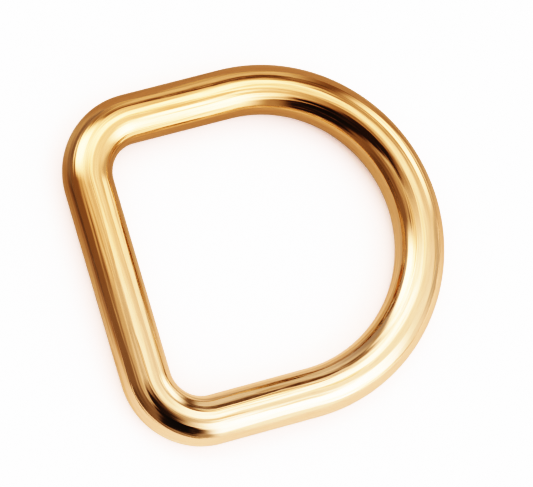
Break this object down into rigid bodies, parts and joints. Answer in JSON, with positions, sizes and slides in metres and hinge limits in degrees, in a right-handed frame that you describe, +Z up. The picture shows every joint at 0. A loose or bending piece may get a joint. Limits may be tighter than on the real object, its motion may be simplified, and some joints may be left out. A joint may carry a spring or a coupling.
{
  "type": "d ring",
  "caption": "Closed D shaped ring of thick round polished gold wire, with a straight strap bar, rounded corners, straight legs and a half round arc.",
  "frame": {"origin": "middle of the ring's outline, on the surface that the ring lies on", "axes": "+X along the straight bar, +Y from the bar to the top of the arc, +Z up, square to the ring's plane"},
  "size_m": [0.0346, 0.0352, 0.0048],
  "materials": {
    "gold": "mirror polished, gold plated"
  },
  "bodies": {
    "root": {"ring": "gold"}
  },
  "joints": []
}
